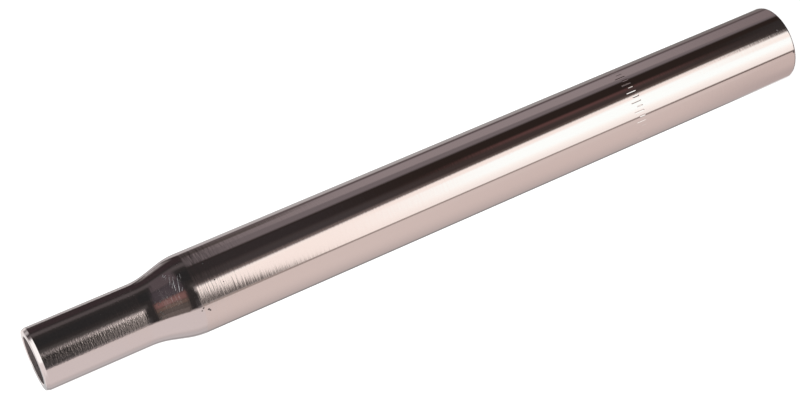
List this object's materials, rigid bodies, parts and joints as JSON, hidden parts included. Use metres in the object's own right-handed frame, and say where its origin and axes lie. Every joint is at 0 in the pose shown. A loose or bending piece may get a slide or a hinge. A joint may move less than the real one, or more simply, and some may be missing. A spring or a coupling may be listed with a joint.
{
  "type": "bicycle seatpost",
  "caption": "Straight round tube seatpost, open at both ends, swaged down at one end to a narrower neck that takes the saddle clamp.",
  "frame": {"origin": "centre of the sawn foot, the end that goes down into the bicycle frame", "axes": "+Z along the tube's axis, from the foot up to the neck that takes the saddle clamp; the tube is round, so +X and +Y are alike"},
  "size_m": [0.0286, 0.0286, 0.3],
  "materials": {
    "polished_alloy": "polished bright outside, satin at the neck, drawn and unpolished in the bore"
  },
  "bodies": {
    "root": {"seatpost_tube": "polished_alloy"}
  },
  "joints": []
}
